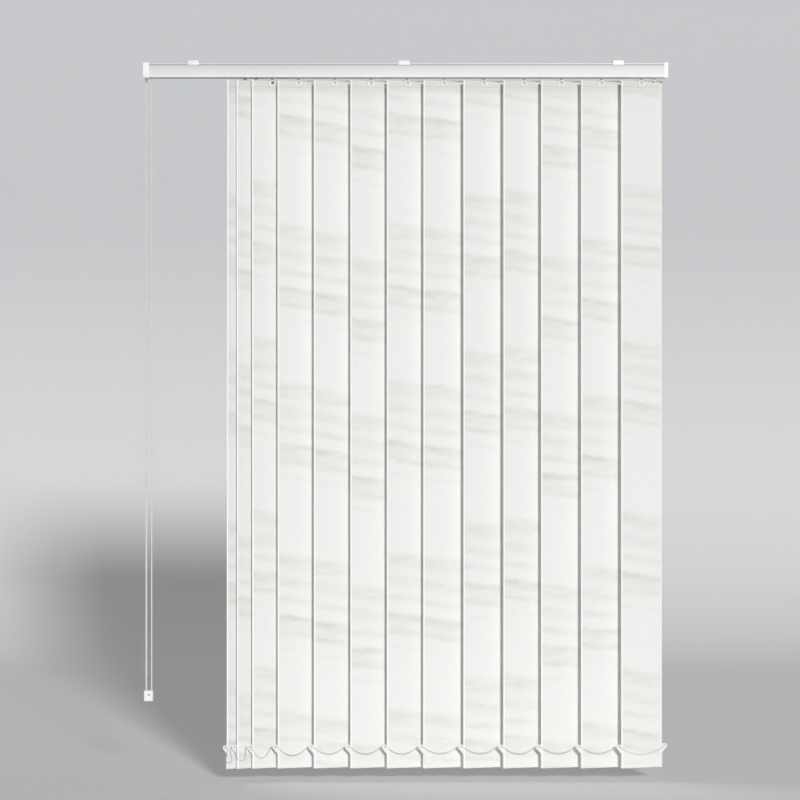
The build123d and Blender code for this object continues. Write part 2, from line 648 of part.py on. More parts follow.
def hanger():
    """Moulded strip in the louvre's top pocket, with an eye that stands in the notch."""
    half = HANGER_THICKNESS / 2
    end = HANGER_LENGTH / 2
    top = LOUVRE_TOP - FABRIC - 1.0
    plate = block((-end, end), (-half, half), (top - HANGER_HEIGHT, top))
    plate = fillet(plate.edges().filter_by(Axis.Y), 2.0)
    plate -= block((-EYE_OUTER_RADIUS, EYE_OUTER_RADIUS), (-half, half), (EYE_Z, top))
    plate += round_y(EYE_OUTER_RADIUS, 0, (-half, half), EYE_Z)
    return plate - round_y(EYE_INNER_RADIUS, 0, (-half, half), EYE_Z)


def bottom_weight():
    """Moulded plate in the bottom pocket, with a pierced ear at each top corner for the chains."""
    base = WEIGHT_TOP - WEIGHT_HEIGHT
    half = WEIGHT_LENGTH / 2
    tip = LOUVRE_WIDTH / 2 + EAR_REACH
    outline = [
        (0, WEIGHT_TOP),
        (tip - 3.0, WEIGHT_TOP),
        (tip - 0.8, WEIGHT_TOP - 1.2),
        (tip, WEIGHT_TOP - 3.6),
        (tip - 1.2, WEIGHT_TOP - 7.0),
        (half + 1.0, WEIGHT_TOP - EAR_HEIGHT),
        (half, WEIGHT_TOP - EAR_HEIGHT - 2.0),
        (half, base + 3.0),
        (half - 3.0, base),
        (0, base),
    ]
    outline += [(-x, z) for x, z in reversed(outline[1:-1])]
    face = Plane.XZ * make_face(Polyline(*outline, close=True))
    plate = extrude(face, WEIGHT_THICKNESS / 2, both=True)
    for side in (-1, 1):
        span = (-WEIGHT_THICKNESS, WEIGHT_THICKNESS)
        plate -= round_y(EAR_HOLE_RADIUS, side * EAR_HOLE_U, span, EAR_HOLE_Z)
    return plate


def louvre():
    """Fabric strip with a pocket folded at each end, open at both sides, and a notch for the eye."""
    outer = POCKET_ROOM / 2 + FABRIC
    inner = POCKET_ROOM / 2
    skin = FABRIC / 2
    top_end = LOUVRE_TOP - TOP_POCKET
    low_end = LOUVRE_BASE + BOTTOM_POCKET
    strip = bar_from_section(mirrored([
        (outer - 1.0, LOUVRE_TOP),
        (outer, LOUVRE_TOP - 1.0),
        (outer, top_end + POCKET_TAPER),
        (skin, top_end),
        (skin, low_end),
        (outer, low_end - POCKET_TAPER),
        (outer, LOUVRE_BASE + 1.0),
        (outer - 1.0, LOUVRE_BASE),
    ]), (-LOUVRE_WIDTH / 2, LOUVRE_WIDTH / 2))
    for near, far in ((LOUVRE_TOP, top_end), (LOUVRE_BASE, low_end)):
        inward = 1 if far > near else -1
        pocket = mirrored([
            (inner - 0.6, near + inward * FABRIC),
            (inner, near + inward * (FABRIC + 0.6)),
            (inner, far - inward * (POCKET_TAPER + 0.2)),
            (0.05, far - inward * 1.0),
        ])
        strip -= bar_from_section(pocket, (-LOUVRE_WIDTH, LOUVRE_WIDTH))
    notch = block(
        (-NOTCH_WIDTH / 2, NOTCH_WIDTH / 2),
        (-2 * outer, 2 * outer),
        (LOUVRE_TOP - NOTCH_DEPTH, LOUVRE_TOP + 1),
    )
    return strip - notch


# ------------------------------------------------------------------ bottom chains

def on_louvre(index, u, n, z):
    """A point of a louvre's own frame, u along its width and n towards the window, in place."""
    turn = math.radians(TILTS[index])
    x = TRUCK_X[index] + u * math.cos(turn) - n * math.sin(turn)
    y = u * math.sin(turn) + n * math.cos(turn)
    return Vector(x, y, z)


def ear_hole(index, side):
    """Where a chain leaves an ear: just clear of its room side (-1) or its window side (+1)."""
    clear = WEIGHT_THICKNESS / 2 + BEAD_RADIUS + RUN
    return on_louvre(index, side * (EAR_HOLE_U - 1.5), side * clear, EAR_HOLE_Z)


def ear_tip(index, side):
    """Where a chain comes to an ear from outside: just clear of its tip."""
    reach = LOUVRE_WIDTH / 2 + EAR_REACH + BEAD_RADIUS + RUN
    return on_louvre(index, side * reach, 0, EAR_HOLE_Z)


def sag_points(span, sag):
    """(along, down) points of a hanging piece: a rounded U where it is narrow, or else a parabola."""
    half = span / 2
    if sag > 1.5 * half:
        bend = max(half, 3 * 2 * BEAD_RADIUS)
        left = [
            (-half, 0),
            (-half + 0.6, 0.42 * sag),
            (-bend, sag - 0.586 * bend),
            (-0.414 * bend, sag),
        ]
        return left + [(-along, down) for along, down in reversed(left)]
    shares = (-1, -0.8, -0.48, 0, 0.48, 0.8, 1)
    return [(half * share, sag * (1 - share ** 2)) for share in shares]


def chain_piece(start, end, sag):
    """One hanging piece of chain, as runs joined by tangent arcs."""
    middle = (start + end) / 2
    along = (end - start).normalized()
    span = (end - start).length
    points = [middle + along * a - Vector(0, 0, down) for a, down in sag_points(span, sag)]
    radii = []
    for before, here, after in zip(points, points[1:], points[2:]):
        turn = math.radians((here - before).get_angle(after - here))
        shorter = min((here - before).length, (after - here).length)
        radii.append(0.45 * shorter / math.tan(turn / 2))
    path = FilletPolyline(*points, radius=radii)
    print("chain piece:", round(path.length, 1), "long, radii", [round(r, 1) for r in radii])
    section = Plane(origin=path @ 0, z_dir=path % 0) * Circle(BEAD_RADIUS)
    return sweep(section, path=path)


def front_chain():
    """Pieces from each room-side ear to the next, and a last one across the fixed louvre."""
    pieces = []
    for index, sag in enumerate(SAGS):
        pieces.append(chain_piece(ear_hole(index, -1), ear_tip(index + 1, -1), sag))
    last = LOUVRES - 1
    clear = POCKET_ROOM / 2 + FABRIC + BEAD_RADIUS + RUN
    ends = [on_louvre(last, side * EAR_HOLE_U, -clear, EAR_HOLE_Z) for side in (-1, 1)]
    pieces.append(chain_piece(*ends, TAIL_SAG))
    return pieces


def back_chain():
    """Pieces from each window-side ear to the next."""
    pieces = []
    for index, sag in enumerate(SAGS):
        pieces.append(chain_piece(ear_tip(index, 1), ear_hole(index + 1, 1), sag))
    return pieces


# ------------------------------------------------------------------ write the pieces

def write(node, *pieces):
    """Writes one node, as one solid or as a group of separate ones."""
    solids = [solid for piece in pieces for solid in piece.solids()]
    shape = solids[0] if len(solids) == 1 else Compound(children=solids)
    export_step(shape, os.path.join("parts", node + ".step"))


os.makedirs("parts", exist_ok=True)

write("headrail", headrail())
write("bracket_left", bracket(BRACKET_X[0]))
write("bracket_middle", bracket(BRACKET_X[1]))
write("bracket_right", bracket(BRACKET_X[2]))
write("control_end_cap", control_end_cap())
write("control_cap_cover", control_cap_cover())
write("idle_end_cap", idle_end_cap())
write("tilt_rod", tilt_rod())
write("chain_wheel", chain_wheel())
write("cord_pulley_front", cord_pulley(CORD_FRONT_Y))
write("cord_pulley_rear", cord_pulley(CORD_REAR_Y))
write("return_pulley", return_pulley())
write("pulley_pins", pulley_pins())
write("tilt_chain", tilt_chain())
write("draw_cord_loop", draw_cord_loop())
write("draw_cord_run", draw_cord_run())
write("cord_tidy", cord_tidy())
write("cord_clamp", cord_clamp(TRUCK_X[0]))
write("front_chain", *front_chain())
write("back_chain", *back_chain())

strip = louvre()
fittings = [hook(), hanger(), bottom_weight()]
for i in range(LOUVRES):
    place = Pos(TRUCK_X[i], 0, 0) * Rot(0, 0, TILTS[i])
    number = f"{i + 1:02d}"
    write("truck_" + number, *truck(i))
    write("fittings_" + number, *[place * piece for piece in fittings])
    write("louvre_" + number, place * strip)
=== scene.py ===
import math
import bpy
import numpy as np
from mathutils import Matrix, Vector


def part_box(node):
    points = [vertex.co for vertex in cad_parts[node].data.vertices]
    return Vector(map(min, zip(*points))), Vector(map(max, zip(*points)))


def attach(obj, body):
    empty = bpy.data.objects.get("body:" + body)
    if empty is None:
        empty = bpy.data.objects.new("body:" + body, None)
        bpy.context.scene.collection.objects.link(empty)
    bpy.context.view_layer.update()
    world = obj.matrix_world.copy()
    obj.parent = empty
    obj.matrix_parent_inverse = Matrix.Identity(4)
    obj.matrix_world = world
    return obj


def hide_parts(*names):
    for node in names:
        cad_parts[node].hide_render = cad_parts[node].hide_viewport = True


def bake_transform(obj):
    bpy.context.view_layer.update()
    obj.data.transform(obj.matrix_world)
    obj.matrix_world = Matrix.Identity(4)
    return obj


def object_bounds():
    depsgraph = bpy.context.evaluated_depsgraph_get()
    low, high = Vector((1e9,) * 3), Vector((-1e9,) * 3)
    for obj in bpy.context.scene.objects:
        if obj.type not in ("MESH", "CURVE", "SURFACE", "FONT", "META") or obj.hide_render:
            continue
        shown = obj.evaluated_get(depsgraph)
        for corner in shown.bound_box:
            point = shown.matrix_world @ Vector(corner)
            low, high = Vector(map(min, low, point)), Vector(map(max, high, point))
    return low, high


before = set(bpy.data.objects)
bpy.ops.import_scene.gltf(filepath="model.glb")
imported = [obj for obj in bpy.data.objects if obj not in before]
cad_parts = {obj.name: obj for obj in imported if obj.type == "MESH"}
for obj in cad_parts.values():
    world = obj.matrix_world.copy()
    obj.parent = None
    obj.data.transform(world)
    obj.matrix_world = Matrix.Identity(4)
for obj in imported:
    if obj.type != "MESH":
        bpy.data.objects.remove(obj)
cad_box = [list(corner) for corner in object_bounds()]

# ---------------------------------------------------------------- camera, light and floor
# The viewer stands square to the blind, level with its middle.
# A key light just right of the viewer draws a shadow beside each louvre's edge, a wide one high
# on the left fills it in, and a third lights the back.

view_centre = (-0.0134, -0.677)
view_width = 1.6
view_distance = 7.0

camera_data = bpy.data.cameras.new("camera")
camera_data.sensor_width = 36.0
camera_data.lens = camera_data.sensor_width * view_distance / view_width
camera = bpy.data.objects.new("camera", camera_data)
camera.location = (view_centre[0], -view_distance, view_centre[1])
camera.rotation_euler = (math.radians(90.0), 0.0, 0.0)
bpy.context.scene.collection.objects.link(camera)
bpy.context.scene.camera = camera
bpy.context.scene.view_settings.view_transform = "Standard"


def sun_light(name, strength, spread, right, above):
    """A far light, as wide as spread, set right of and above the viewer's line, all in degrees."""
    data = bpy.data.lights.new(name, "SUN")
    data.energy = strength
    data.angle = math.radians(spread)
    lamp = bpy.data.objects.new(name, data)
    lamp.rotation_euler = (math.radians(90.0 - above), 0.0, math.radians(right))
    bpy.context.scene.collection.objects.link(lamp)


sun_light("key_light", 2.28, 6.0, right=11.0, above=14.0)
sun_light("top_light", 0.35, 70.0, right=-15.0, above=76.0)
sun_light("rear_light", 0.6, 50.0, right=165.0, above=35.0)

world = bpy.data.worlds.new("studio")
bpy.context.scene.world = world
world.use_nodes = True
world.node_tree.nodes["Background"].inputs["Color"].default_value = (0.93, 0.95, 1.0, 1.0)
# the sky is pale to look at but lights the room only a little
sight = world.node_tree.nodes.new("ShaderNodeLightPath")
sky = world.node_tree.nodes.new("ShaderNodeMath")
sky.operation = "MULTIPLY_ADD"
sky.inputs[1].default_value = 0.45
sky.inputs[2].default_value = 0.085
world.node_tree.links.new(sight.outputs["Is Camera Ray"], sky.inputs[0])
world.node_tree.links.new(sky.outputs[0], world.node_tree.nodes["Background"].inputs["Strength"])


def object_from_grid(name, grid, keep=None):
    """A mesh whose vertices are a grid of points and whose faces are the grid's cells.

    grid is rows x columns x 3. keep, rows-1 x columns-1, is false where a cell is cut out."""
    rows, columns = grid.shape[:2]
    index = np.arange(rows * columns).reshape(rows, columns)
    cells = np.stack([index[:-1, :-1], index[:-1, 1:], index[1:, 1:], index[1:, :-1]], axis=-1)
    cells = cells.reshape(-1, 4) if keep is None else cells[keep]
    mesh = bpy.data.meshes.new(name)
    mesh.from_pydata(grid.reshape(-1, 3).tolist(), [], cells.tolist())
    made = bpy.data.objects.new(name, mesh)
    bpy.context.scene.collection.objects.link(made)
    mesh.shade_smooth()
    return made


def new_material(name, colour, roughness):
    """A material with one Principled shader: returns the material, its nodes and that shader."""
    material = bpy.data.materials.new(name)
    material.use_nodes = True
    shader = material.node_tree.nodes["Principled BSDF"]
    shader.inputs["Base Color"].default_value = (*colour, 1.0)
    shader.inputs["Roughness"].default_value = roughness
    return material, material.node_tree, shader


def backdrop():
    """Floor and wall in one sheet: the profile runs level, turns up on an arc, and rises.

    The paper is painted palest on the floor, painted light where the low key light only grazes it, and a
    little deeper up the wall."""
    floor_gap = 0.028
    floor_z = cad_box[0][2] - floor_gap
    wall_y, bend = 6.0, 3.0
    painted_light_height = 1.6
    turn = np.linspace(0.0, math.pi / 2, 24)
    y = np.concatenate([[-9.0, -1.5], wall_y - bend + bend * np.sin(turn), [wall_y, wall_y]])
    z = np.concatenate([[0.0, 0.0], bend - bend * np.cos(turn), [3.6, 5.2]]) + floor_z
    x = np.linspace(-5.0, 5.0, 15)
    grid = np.stack([
        np.broadcast_to(x, (len(y), len(x))),
        np.broadcast_to(y[:, None], (len(y), len(x))),
        np.broadcast_to(z[:, None], (len(y), len(x))),
    ], axis=-1)
    sheet = object_from_grid("backdrop", grid)
    paper, tree, shader = new_material("backdrop_paper_painted_light", (0.8, 0.8, 0.8), 0.9)
    place = tree.nodes.new("ShaderNodeTexCoord")
    parts = tree.nodes.new("ShaderNodeSeparateXYZ")
    tree.links.new(place.outputs["Object"], parts.inputs["Vector"])
    rise = tree.nodes.new("ShaderNodeMapRange")
    rise.inputs["From Min"].default_value = floor_z
    rise.inputs["From Max"].default_value = floor_z + painted_light_height
    tree.links.new(parts.outputs["Z"], rise.inputs["Value"])
    # painted light: paler on the floor, fading to the wall's deeper tone as the sheet rises
    tone = tree.nodes.new("ShaderNodeValToRGB")
    tone.color_ramp.interpolation = "EASE"
    tone.color_ramp.elements[0].color = (0.93, 0.93, 0.93, 1.0)
    tone.color_ramp.elements[1].color = (0.60, 0.61, 0.625, 1.0)
    tree.links.new(rise.outputs["Result"], tone.inputs["Fac"])
    tree.links.new(tone.outputs["Color"], shader.inputs["Base Color"])
    sheet.data.materials.append(paper)


backdrop()

# ---------------------------------------------------------------- tilt chain
# Endless chain of white plastic beads moulded onto a thread. It turns the wheel in the control
# cap, hangs in two strands, and goes round a post in the cord tidy, which keeps it taut.


def smooth_line(points, spacing):
    """Points at an even spacing along the quadratic NURBS curve that the given points control."""
    curve = bpy.data.curves.new("route", "CURVE")
    curve.dimensions = "3D"
    spline = curve.splines.new("NURBS")
    spline.points.add(len(points) - 1)
    weights = np.ones((len(points), 1))
    spline.points.foreach_set("co", np.hstack([np.array(points), weights]).ravel())
    spline.order_u = 3
    spline.use_endpoint_u = True
    spline.resolution_u = 24
    carrier = bpy.data.objects.new("route", curve)
    mesh = bpy.data.meshes.new_from_object(carrier)
    found = np.zeros(len(mesh.vertices) * 3)
    mesh.vertices.foreach_get("co", found)
    found = found.reshape(-1, 3)
    bpy.data.meshes.remove(mesh)
    bpy.data.objects.remove(carrier)
    bpy.data.curves.remove(curve)
    reach = np.concatenate([[0.0], np.cumsum(np.linalg.norm(np.diff(found, axis=0), axis=1))])
    steps = max(2, round(reach[-1] / spacing))
    at = np.linspace(0.0, reach[-1], steps + 1)
    return np.stack([np.interp(at, reach, found[:, axis]) for axis in range(3)], axis=-1)


def round_tube(line, radius, sides):
    """Rings of points round a line: each ring lies square to the line's direction there."""
    along = np.gradient(line, axis=0)
    along /= np.linalg.norm(along, axis=1, keepdims=True)
    lean = np.array([1.0, 0.9, 0.55]) / np.linalg.norm([1.0, 0.9, 0.55])
    first = lean - (along @ lean)[:, None] * along
    first /= np.linalg.norm(first, axis=1, keepdims=True)
    second = np.cross(along, first)
    angle = np.linspace(0.0, 2 * math.pi, sides, endpoint=False)
    offset = first[:, None] * np.cos(angle)[None, :, None]
    offset = offset + second[:, None] * np.sin(angle)[None, :, None]
    return line[:, None] + radius * offset


def bead_chain(name, line, bead_radius, thread_radius):
    """A bead at every point of the line, each a small ball of few faces, on a six-sided thread."""
    segments, bands = 8, 5
    tilt = np.linspace(0.0, math.pi, bands + 1)[1:-1]
    turn = np.linspace(0.0, 2 * math.pi, segments, endpoint=False)
    ring = np.stack([
        np.sin(tilt)[:, None] * np.cos(turn)[None],
        np.sin(tilt)[:, None] * np.sin(turn)[None],
        np.broadcast_to(np.cos(tilt)[:, None], (bands - 1, segments)),
    ], axis=-1).reshape(-1, 3)
    ball = np.vstack([[[0.0, 0.0, 1.0]], ring, [[0.0, 0.0, -1.0]]])
    last = len(ball) - 1
    around = np.arange(segments)
    beyond = (around + 1) % segments
    caps = np.stack([np.zeros(segments, int), 1 + around, 1 + beyond, 1 + beyond], axis=-1)
    start = 1 + (bands - 2) * segments
    foot = np.stack([np.full(segments, last), start + beyond, start + around, start + around], axis=-1)
    sides = [
        np.stack([1 + b * segments + around, 1 + (b + 1) * segments + around,
                  1 + (b + 1) * segments + beyond, 1 + b * segments + beyond], axis=-1)
        for b in range(bands - 2)
    ]
    ball_faces = np.vstack([caps, *sides, foot])
    beads = (line[:, None] + bead_radius * ball[None]).reshape(-1, 3)
    faces = (ball_faces[None] + (np.arange(len(line)) * len(ball))[:, None, None]).reshape(-1, 4)
    thread = round_tube(line, thread_radius, 6)
    rows = len(line)
    index = len(beads) + np.arange(rows * 6).reshape(rows, 6)
    after = np.roll(index, -1, axis=1)
    walls = np.stack([index[:-1], after[:-1], after[1:], index[1:]], axis=-1).reshape(-1, 4)
    points = np.vstack([beads, thread.reshape(-1, 3)])
    quads = np.vstack([faces, walls])
    mesh = bpy.data.meshes.new(name)
    trimmed = [face[:3] if face[2] == face[3] else face for face in quads.tolist()]
    mesh.from_pydata(points.tolist(), [], trimmed)
    mesh.shade_smooth()
    chain = bpy.data.objects.new(name, mesh)
    bpy.context.scene.collection.objects.link(chain)
    return chain


def grain_group():
    """Shared node group: the fine orange peel and faint cloudiness of moulded and coated faces."""
    group = bpy.data.node_groups.new("fine_grain", "ShaderNodeTree")
    for socket, value in (("Grain Scale", 900.0), ("Cloud Scale", 14.0)):
        made = group.interface.new_socket(socket, in_out="INPUT", socket_type="NodeSocketFloat")
        made.default_value = value
    group.interface.new_socket("Height", in_out="OUTPUT", socket_type="NodeSocketFloat")
    group.interface.new_socket("Cloud", in_out="OUTPUT", socket_type="NodeSocketFloat")
    given = group.nodes.new("NodeGroupInput")
    result = group.nodes.new("NodeGroupOutput")
    place = group.nodes.new("ShaderNodeTexCoord")
    for socket, output, detail in (("Grain Scale", "Height", 2.0), ("Cloud Scale", "Cloud", 4.0)):
        noise = group.nodes.new("ShaderNodeTexNoise")
        noise.inputs["Detail"].default_value = detail
        group.links.new(place.outputs["Object"], noise.inputs["Vector"])
        group.links.new(given.outputs[socket], noise.inputs["Scale"])
        group.links.new(noise.outputs["Fac"], result.inputs[output])
    return group


fine_grain = grain_group()


def grained_material(name, colour, shade, roughness, grain, cloud, depth):
    """A coated or moulded finish: colour drifts towards shade, and fine grain roughens the face."""
    material, tree, shader = new_material(name, colour, roughness)
    grained = tree.nodes.new("ShaderNodeGroup")
    grained.node_tree = fine_grain
    grained.inputs["Grain Scale"].default_value = grain
    grained.inputs["Cloud Scale"].default_value = cloud
    drift = tree.nodes.new("ShaderNodeValToRGB")
    drift.color_ramp.elements[0].position = 0.35
    drift.color_ramp.elements[0].color = (*shade, 1.0)
    drift.color_ramp.elements[1].position = 0.65
    drift.color_ramp.elements[1].color = (*colour, 1.0)
    tree.links.new(grained.outputs["Cloud"], drift.inputs["Fac"])
    tree.links.new(drift.outputs["Color"], shader.inputs["Base Color"])
    gloss = tree.nodes.new("ShaderNodeMapRange")
    gloss.inputs["To Min"].default_value = roughness - 0.05
    gloss.inputs["To Max"].default_value = roughness + 0.07
    tree.links.new(grained.outputs["Cloud"], gloss.inputs["Value"])
    tree.links.new(gloss.outputs["Result"], shader.inputs["Roughness"])
    bump = tree.nodes.new("ShaderNodeBump")
    bump.inputs["Strength"].default_value = 0.35
    bump.inputs["Distance"].default_value = depth
    tree.links.new(grained.outputs["Height"], bump.inputs["Height"])
    tree.links.new(bump.outputs["Normal"], shader.inputs["Normal"])
    return material


bead_plastic = grained_material(
    "bead_plastic", (0.86, 0.86, 0.83), (0.78, 0.78, 0.74), 0.28, 1500.0, 40.0, 0.00004
)

wheel_low, wheel_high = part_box("chain_wheel")
chain_x = (wheel_low[0] + wheel_high[0]) / 2
rod_y = (wheel_low[1] + wheel_high[1]) / 2
rod_z = (wheel_low[2] + wheel_high[2]) / 2
chain_bead = 0.00215
chain_thread = 0.0007
chain_low, chain_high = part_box("tilt_chain")
wheel_bend = (chain_high[1] - chain_low[1]) / 2 - chain_bead
post_z = chain_low[2] + chain_bead + wheel_bend


# how far from a bend's middle its control points stand, as a share of its radius: tan(22.5 degrees)
corner_share = 0.414
# the strands are straight from this many thicknesses away from a bend
straight_after = 6


def loop_round(x, y, bend, top, foot, reach):
    """Points of a taut loop in the plane of x: over a wheel at top, down, and round a post at foot."""
    corner = corner_share * bend
    return [
        (x, y, top + bend),
        (x, y - corner, top + bend),
        (x, y - bend, top + corner),
        (x, y - bend, top - reach),
        (x, y - bend, foot + reach),
        (x, y - bend, foot - corner),
        (x, y - corner, foot - bend),
        (x, y + corner, foot - bend),
        (x, y + bend, foot - corner),
        (x, y + bend, foot + reach),
        (x, y + bend, top - reach),
        (x, y + bend, top + corner),
        (x, y + corner, top + bend),
        (x, y, top + bend),
    ]


bead_pitch = 0.006
chain_route = loop_round(
    chain_x, rod_y, wheel_bend, rod_z, post_z, straight_after * 2 * chain_bead
)
chain_line = smooth_line(chain_route, bead_pitch)[:-1]
tilt_chain = bead_chain("tilt_bead_chain", chain_line, chain_bead, chain_thread)
tilt_chain.data.materials.append(bead_plastic)
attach(tilt_chain, "root")
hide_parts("tilt_chain")

# ---------------------------------------------------------------- draw cord
# White braided polyester cord. It comes over two pulleys out of the rail, hangs in a loop round
# the tidy's second post, and runs inside the rail to the far pulley and back to the lead truck.

cord_radius = 0.001
cord_low, cord_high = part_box("draw_cord_loop")
pulley_x = cord_high[0]
strand_x = cord_low[0] + cord_radius
cord_front = cord_low[1] + cord_radius
cord_rear = cord_high[1] - cord_radius
cord_top = cord_high[2] - cord_radius
cord_foot = cord_low[2] + cord_radius
cord_bend = (cord_rear - cord_front) / 2
cord_corner = corner_share * cord_bend
cord_middle = (cord_front + cord_rear) / 2
near = straight_after * 2 * cord_radius
cord_step = 0.003

cord_route = [
    (pulley_x, cord_front, cord_top),
    (strand_x, cord_front, cord_top),
    (strand_x, cord_front, cord_top - near),
    (strand_x, cord_front, cord_foot + cord_bend + near),
    (strand_x, cord_front, cord_foot + cord_bend - cord_corner),
    (strand_x, cord_middle - cord_corner, cord_foot),
    (strand_x, cord_middle + cord_corner, cord_foot),
    (strand_x, cord_rear, cord_foot + cord_bend - cord_corner),
    (strand_x, cord_rear, cord_foot + cord_bend + near),
    (strand_x, cord_rear, cord_top - near),
    (strand_x, cord_rear, cord_top),
    (pulley_x, cord_rear, cord_top),
]


def braided_cord(name, line, radius):
    """A round tube along the line; its UV runs once round and in metres along, for the braid."""
    sides = 12
    rings = round_tube(line, radius, sides)
    rings = np.concatenate([rings, rings[:, :1]], axis=1)
    cord = object_from_grid(name, rings)
    reach = np.concatenate([[0.0], np.cumsum(np.linalg.norm(np.diff(line, axis=0), axis=1))])
    around = np.linspace(0.0, 1.0, sides + 1)
    chart = np.stack([
        np.broadcast_to(around, (len(line), sides + 1)),
        np.broadcast_to(reach[:, None], (len(line), sides + 1)),
    ], axis=-1).reshape(-1, 2)
    corners = np.zeros(len(cord.data.loops), dtype=np.int32)
    cord.data.loops.foreach_get("vertex_index", corners)
    layer = cord.data.uv_layers.new(name="braid")
    layer.data.foreach_set("uv", chart[corners].ravel())
    return cord


def braid_material():
    """Two sets of strands that cross: sine ridges on both diagonals of the cord's own UV, with painted
    shade darkening the grooves between them.

    A ridge is sin(2 pi (y / pitch - strands x)) one way and with + strands x the other."""
    strands, braid_pitch = 4.0, 0.0022
    material, tree, shader = new_material("braided_cord", (0.84, 0.84, 0.82), 0.75)
    shader.inputs["Sheen Weight"].default_value = 0.15
    chart = tree.nodes.new("ShaderNodeUVMap")
    chart.uv_map = "braid"
    parts = tree.nodes.new("ShaderNodeSeparateXYZ")
    tree.links.new(chart.outputs["UV"], parts.inputs["Vector"])
    ridges = []
    for lean in (-1.0, 1.0):
        across = tree.nodes.new("ShaderNodeMath")
        across.operation = "MULTIPLY"
        across.inputs[1].default_value = lean * strands * 2 * math.pi
        tree.links.new(parts.outputs["X"], across.inputs[0])
        along = tree.nodes.new("ShaderNodeMath")
        along.operation = "MULTIPLY_ADD"
        along.inputs[1].default_value = 2 * math.pi / braid_pitch
        tree.links.new(parts.outputs["Y"], along.inputs[0])
        tree.links.new(across.outputs[0], along.inputs[2])
        ridge = tree.nodes.new("ShaderNodeMath")
        ridge.operation = "SINE"
        tree.links.new(along.outputs[0], ridge.inputs[0])
        ridges.append(ridge)
    top = tree.nodes.new("ShaderNodeMath")
    top.operation = "MAXIMUM"
    tree.links.new(ridges[0].outputs[0], top.inputs[0])
    tree.links.new(ridges[1].outputs[0], top.inputs[1])
    # painted shade: darker in the grooves between the strands, lighter on the ridges
    tone = tree.nodes.new("ShaderNodeValToRGB")
    tone.color_ramp.elements[0].color = (0.66, 0.66, 0.63, 1.0)
    tone.color_ramp.elements[1].color = (0.88, 0.88, 0.86, 1.0)
    tree.links.new(top.outputs[0], tone.inputs["Fac"])
    tree.links.new(tone.outputs["Color"], shader.inputs["Base Color"])
    bump = tree.nodes.new("ShaderNodeBump")
    bump.inputs["Strength"].default_value = 0.6
    bump.inputs["Distance"].default_value = 0.00015
    tree.links.new(top.outputs[0], bump.inputs["Height"])
    tree.links.new(bump.outputs["Normal"], shader.inputs["Normal"])
    return material


cord_line = smooth_line(cord_route, cord_step)
draw_cord = braided_cord("draw_cord_strands", cord_line, cord_radius)
braid = braid_material()
draw_cord.data.materials.append(braid)
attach(draw_cord, "root")
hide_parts("draw_cord_loop")

# the run inside the rail: out to the return pulley, half round it, and back
run_low, run_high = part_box("draw_cord_run")
run_z = (run_low[2] + run_high[2]) / 2
run_end = run_high[0] - cord_radius
return_x = run_end - cord_bend
run_route = [
    (pulley_x, cord_front, run_z),
    (return_x - near, cord_front, run_z),
    (return_x + cord_corner, cord_front, run_z),
    (run_end, cord_middle - cord_corner, run_z),
    (run_end, cord_middle + cord_corner, run_z),
    (return_x + cord_corner, cord_rear, run_z),
    (return_x - near, cord_rear, run_z),
    (pulley_x, cord_rear, run_z),
]
run_line = smooth_line(run_route, cord_step)
cord_run = braided_cord("draw_cord_inside", run_line, cord_radius)
cord_run.data.materials.append(braid)
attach(cord_run, "root")
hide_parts("draw_cord_run")

# ---------------------------------------------------------------- headrail
# Extruded aluminium channel with a satin white powder coat. A lip and groove along each upper
# edge take the brackets' claws, and a rolled bead finishes each lower edge.


def dress(material, *nodes):
    """Gives carried-over pieces a finish in all their material slots."""
    for node in nodes:
        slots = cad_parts[node].material_slots
        for slot in slots:
            slot.material = material


def rail_coat_with_painted_light():
    """Satin powder coat with painted shade: greyer towards the top and darkest in the groove.

    Each band gives a depth below the rail's top in metres and the tone there; the rolled bead at
    the foot stays bright, a painted highlight."""
    material = grained_material(
        "powder_coat_painted_light", (1.0, 1.0, 1.0), (0.955, 0.955, 0.95), 0.36, 700.0, 6.0, 0.00005
    )
    rail_low, rail_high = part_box("headrail")
    height = rail_high[2] - rail_low[2]
    # painted shade, deepest in the groove and fading down the face, and a painted highlight on the bead
    bands = (
        (0.0000, 0.60), (0.0026, 0.72), (0.0034, 0.46), (0.0054, 0.50), (0.0064, 0.63),
        (0.0160, 0.73), (0.0240, 0.78), (0.0260, 0.80), (0.0268, 0.94), (0.0290, 0.95),
    )
    tree = material.node_tree
    place = tree.nodes.new("ShaderNodeTexCoord")
    parts = tree.nodes.new("ShaderNodeSeparateXYZ")
    tree.links.new(place.outputs["Object"], parts.inputs["Vector"])
    depth = tree.nodes.new("ShaderNodeMapRange")
    depth.inputs["From Min"].default_value = rail_high[2]
    depth.inputs["From Max"].default_value = rail_low[2]
    tree.links.new(parts.outputs["Z"], depth.inputs["Value"])
    ramp = tree.nodes.new("ShaderNodeValToRGB")
    stops = ramp.color_ramp.elements
    stops[0].color = (bands[0][1], bands[0][1], bands[0][1], 1.0)
    stops[1].color = (bands[-1][1], bands[-1][1], bands[-1][1], 1.0)
    for at, tone in bands[1:-1]:
        stop = stops.new(at / height)
        stop.color = (tone, tone, tone, 1.0)
    tree.links.new(depth.outputs["Result"], ramp.inputs["Fac"])
    shader = tree.nodes["Principled BSDF"]
    drift = shader.inputs["Base Color"].links[0].from_socket
    both = tree.nodes.new("ShaderNodeMix")
    both.data_type = "RGBA"
    both.blend_type = "MULTIPLY"
    both.inputs["Factor"].default_value = 1.0
    tree.links.new(drift, both.inputs[6])
    tree.links.new(ramp.outputs["Color"], both.inputs[7])
    tree.links.new(both.outputs[2], shader.inputs["Base Color"])
    return material


dress(rail_coat_with_painted_light(), "headrail")

# ---------------------------------------------------------------- brackets
# Three spring steel clips, pressed from strip and coated white. Each is screwed to the soffit
# and its claws snap over the rail's lips.

